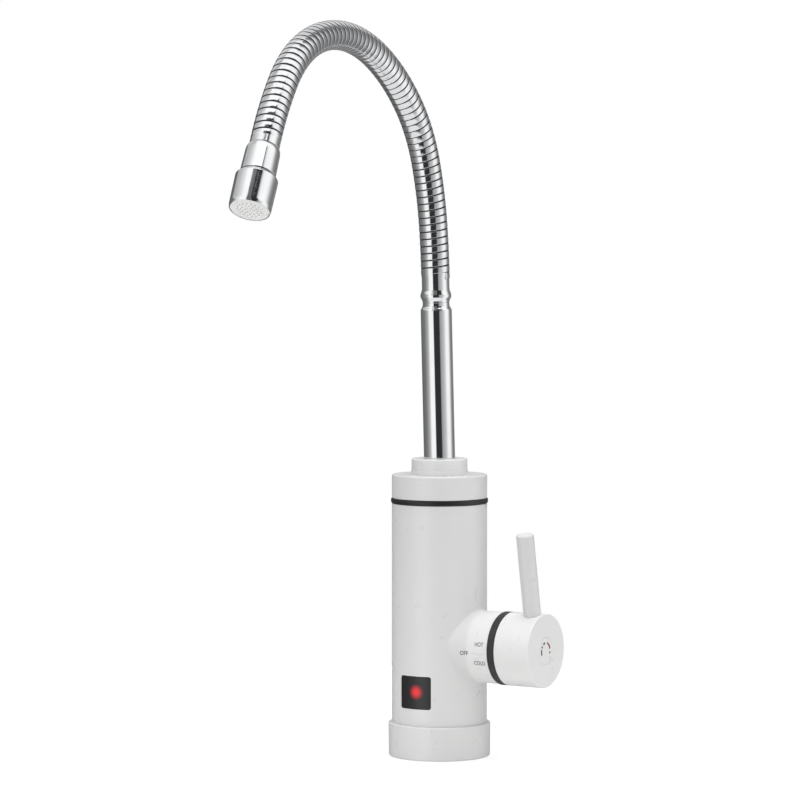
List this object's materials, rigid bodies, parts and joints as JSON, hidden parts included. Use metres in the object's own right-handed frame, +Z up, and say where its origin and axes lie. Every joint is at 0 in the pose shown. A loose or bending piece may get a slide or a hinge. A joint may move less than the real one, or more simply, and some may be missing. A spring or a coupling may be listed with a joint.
{
  "type": "electric instant water heater tap",
  "caption": "Deck tap with a flow-through water heater in its upright body, a side knob with a lever, a display window and a swivelling chromed gooseneck spout.",
  "frame": {"origin": "the middle of the water inlet's mouth, on the plane that the base stands on", "axes": "+Z up along the body, -Y to the front with the display and the spout, +X to the knob"},
  "size_m": [0.1095, 0.2634, 0.4579],
  "materials": {
    "satin_metal": "satin silver grey",
    "chrome": "polished",
    "black_rubber": "satin",
    "black_gloss": "gloss",
    "steel": "plain",
    "brass": "plain",
    "copper": "plain",
    "ceramic": "smooth",
    "engineering_plastic": "matt white",
    "black_plastic": "matt",
    "circuit_board": "satin green",
    "led": "red"
  },
  "bodies": {
    "body": {"base_ring": "satin_metal", "base_gasket": "black_rubber", "base_plate": "steel", "base_screws": "steel", "inlet_fitting": "brass", "cable_gland": "black_rubber", "body_shell": "satin_metal", "side_screws": "steel", "display_window": "black_gloss", "bearing_ring": "black_gloss", "cap": "satin_metal", "cap_oring": "black_rubber", "spout_socket": "brass", "collar_nut": "satin_metal", "inlet_filter": "steel", "water_seals": "black_rubber", "display_board": "circuit_board", "status_led": "led", "power_board": "circuit_board", "chassis": "engineering_plastic", "valve_manifold": "brass", "fixed_disc": "ceramic", "cartridge_body": "engineering_plastic", "cartridge_nut": "brass", "flow_switch_body": "engineering_plastic", "diaphragm": "black_rubber", "flow_switch_cover": "engineering_plastic", "microswitch": "black_plastic", "feed_pipes": "copper", "tank_base": "steel", "tank_shell": "steel", "heating_coil": "steel", "thermal_cutout": "black_plastic", "plunger_spring": "steel"},
    "handle": {"moving_disc": "ceramic", "valve_stem": "brass", "knob": "satin_metal", "knob_screw": "steel", "index_cap": "satin_metal", "lever": "satin_metal"},
    "flow_plunger": {"plunger": "engineering_plastic"},
    "spout": {"spout_tube": "chrome", "spout_spigot": "brass", "spigot_orings": "black_rubber", "retaining_ring": "steel", "lower_ferrule": "chrome", "inner_hose": "black_rubber", "hose_link_1": "chrome"},
    "gooseneck_2": {"hose_link_2": "chrome"},
    "gooseneck_3": {"hose_link_3": "chrome"},
    "gooseneck_4": {"hose_link_4": "chrome"},
    "gooseneck_5": {"hose_link_5": "chrome"},
    "gooseneck_6": {"hose_link_6": "chrome"},
    "gooseneck_7": {"hose_link_7": "chrome"},
    "gooseneck_8": {"hose_link_8": "chrome", "end_ferrule": "chrome", "aerator_housing": "chrome", "aerator_gasket": "black_rubber", "spray_face": "engineering_plastic"}
  },
  "joints": [
    {"name": "handle_turn", "type": "hinge", "parent": "body", "child": "handle", "pos_m": [0, 0, 0.0705], "axis": [1, 0, 0], "range_deg": [-45, 45]},
    {"name": "plunger_lift", "type": "slide", "parent": "body", "child": "flow_plunger", "axis": [0, 0, 1], "range_m": [0, 0.0012], "stiffness_N_per_m": 200, "springref_m": -0.002, "deforming": ["plunger_spring"]},
    {"name": "spout_swivel", "type": "hinge", "parent": "body", "child": "spout", "pos_m": [0, 0, 0.16], "axis": [0, 0, 1], "continuous": true},
    {"name": "gooseneck_bend_1", "type": "hinge", "parent": "spout", "child": "gooseneck_2", "pos_m": [-0.00142, -0.0054, 0.33364], "axis": [0.9916, -0.129, 0.0088], "range_deg": [-5, 5], "deforming": ["inner_hose"]},
    {"name": "gooseneck_bend_2", "type": "hinge", "parent": "gooseneck_2", "child": "gooseneck_3", "pos_m": [-0.00269, -0.01246, 0.37373], "axis": [0.9971, -0.0719, 0.024], "range_deg": [-5, 5], "deforming": ["inner_hose"]},
    {"name": "gooseneck_bend_3", "type": "hinge", "parent": "gooseneck_3", "child": "gooseneck_4", "pos_m": [-0.00486, -0.03046, 0.40993], "axis": [0.9961, 0.0091, 0.0875], "range_deg": [-5, 5], "deforming": ["inner_hose"]},
    {"name": "gooseneck_bend_4", "type": "hinge", "parent": "gooseneck_4", "child": "gooseneck_5", "pos_m": [-0.00692, -0.06095, 0.43656], "axis": [0.9928, 0.0263, 0.1166], "range_deg": [-5, 5], "deforming": ["inner_hose"]},
    {"name": "gooseneck_bend_5", "type": "hinge", "parent": "gooseneck_5", "child": "gooseneck_6", "pos_m": [-0.00731, -0.09951, 0.44865], "axis": [0.9917, 0.027, 0.1257], "range_deg": [-5, 5], "deforming": ["inner_hose"]},
    {"name": "gooseneck_bend_6", "type": "hinge", "parent": "gooseneck_6", "child": "gooseneck_7", "pos_m": [-0.00546, -0.13943, 0.4426], "axis": [0.9958, 0.046, 0.0786], "range_deg": [-5, 5], "deforming": ["inner_hose"]},
    {"name": "gooseneck_bend_7", "type": "hinge", "parent": "gooseneck_7", "child": "gooseneck_8", "pos_m": [-0.0021, -0.17218, 0.41923], "axis": [0.9937, 0.0064, 0.1123], "range_deg": [-5, 5], "deforming": ["inner_hose"]}
  ]
}
